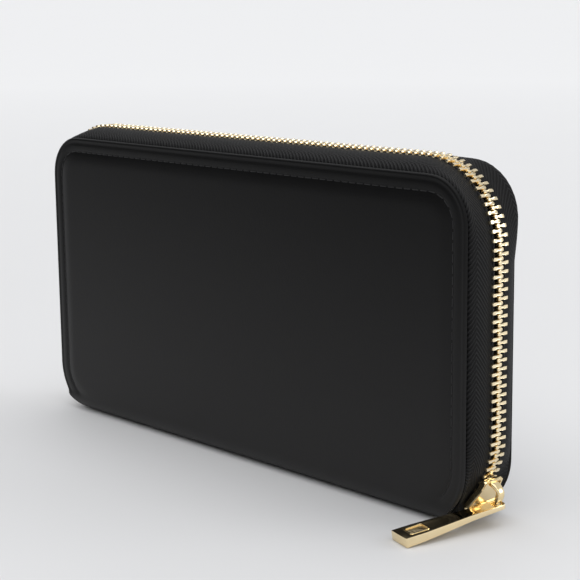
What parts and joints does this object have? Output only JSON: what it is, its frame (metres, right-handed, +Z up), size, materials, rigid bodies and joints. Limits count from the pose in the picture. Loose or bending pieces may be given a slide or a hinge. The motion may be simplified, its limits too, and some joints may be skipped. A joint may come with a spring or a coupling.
{
  "type": "zip around wallet",
  "caption": "Slim zip-around wallet in smooth black leather, standing on its folded spine, with a gold metal zip, a bar pull, card slots and a zipped coin pocket inside.",
  "frame": {"origin": "centre of the spine's flat underside, on which the wallet stands", "axes": "+X along the spine towards the closed end of the zip, +Y from the front cover to the back cover, +Z up to the top edge"},
  "size_m": [0.2056, 0.0428, 0.1046],
  "materials": {
    "cover_leather": "smooth satin black calf leather",
    "slot_leather": "thin smooth black leather",
    "lining_fabric": "black twill lining",
    "stiffener_board": "fibre board",
    "padding_foam": "thin foam",
    "zip_tape": "black herringbone woven polyester",
    "zip_metal": "pale gold plated, polished",
    "slider_metal": "pale gold plated, polished",
    "pull_metal": "pale gold plated, mirror polished",
    "coin_coil": "black nylon coil"
  },
  "bodies": {
    "back_half": {"back_board": "stiffener_board", "back_card_slot_1": "slot_leather", "back_card_slot_2": "slot_leather", "back_card_slot_3": "slot_leather", "back_cover": "cover_leather", "back_lining": "lining_fabric", "back_padding": "padding_foam", "front_fold": "cover_leather", "gusset_left": "lining_fabric", "gusset_right": "lining_fabric", "spine_board": "stiffener_board", "spine_lining": "lining_fabric", "zip_bottom_stop": "zip_metal", "zip_tape_back": "zip_tape", "zip_teeth_back": "zip_metal", "zip_top_stop_back": "zip_metal", "zip_top_stop_front": "zip_metal"},
    "front_half": {"front_board": "stiffener_board", "front_card_slot_1": "slot_leather", "front_card_slot_2": "slot_leather", "front_card_slot_3": "slot_leather", "front_cover": "cover_leather", "front_lining": "lining_fabric", "front_padding": "padding_foam", "zip_tape_front": "zip_tape", "zip_teeth_front": "zip_metal"},
    "coin_pocket": {"coin_back_tape": "zip_tape", "coin_back_teeth": "coin_coil", "coin_back_wall": "lining_fabric", "coin_front_tape": "zip_tape", "coin_front_teeth": "coin_coil", "coin_front_wall": "lining_fabric"},
    "zip_slider": {"slider_body": "slider_metal", "slider_crown": "slider_metal"},
    "pull": {"pull_tab": "pull_metal"},
    "coin_zip_slider": {"coin_slider": "slider_metal"},
    "coin_zip_pull": {"coin_pull": "slider_metal"}
  },
  "joints": [
    {"name": "front_cover_open", "type": "hinge", "parent": "back_half", "child": "front_half", "pos_m": [0, -0.00575, 0.005], "axis": [1, 0, 0], "range_deg": [0, 20], "deforming": ["front_fold", "zip_tape_front", "zip_teeth_front", "gusset_left", "gusset_right", "zip_tape_back", "zip_teeth_back"]},
    {"name": "coin_pocket_follow", "type": "hinge", "parent": "back_half", "child": "coin_pocket", "pos_m": [0, -0.00575, 0.005], "axis": [1, 0, 0], "range_deg": [0, 10], "deforming": ["gusset_left", "gusset_right"]},
    {"name": "slider_travel", "type": "hinge", "parent": "back_half", "child": "zip_slider", "pos_m": [-0.05354, 0, 0.0555], "axis": [0, -1, 0], "range_deg": [0, 26], "deforming": ["zip_tape_front", "zip_teeth_front", "zip_tape_back", "zip_teeth_back"]},
    {"name": "pull_swing", "type": "hinge", "parent": "zip_slider", "child": "pull", "pos_m": [0.1011, 0, 0.006], "axis": [0, 0, 1], "range_deg": [0, 180]},
    {"name": "coin_slider_travel", "type": "slide", "parent": "coin_pocket", "child": "coin_zip_slider", "axis": [-1, 0, 0], "range_m": [0, 0.148]},
    {"name": "coin_pull_flip", "type": "hinge", "parent": "coin_zip_slider", "child": "coin_zip_pull", "pos_m": [0.074, 0, 0.095], "axis": [0, 1, 0], "range_deg": [0, 22]}
  ],
  "couplings": [
    {"joint": "coin_pocket_follow", "follows": "front_cover_open", "ratio": 0.5}
  ]
}
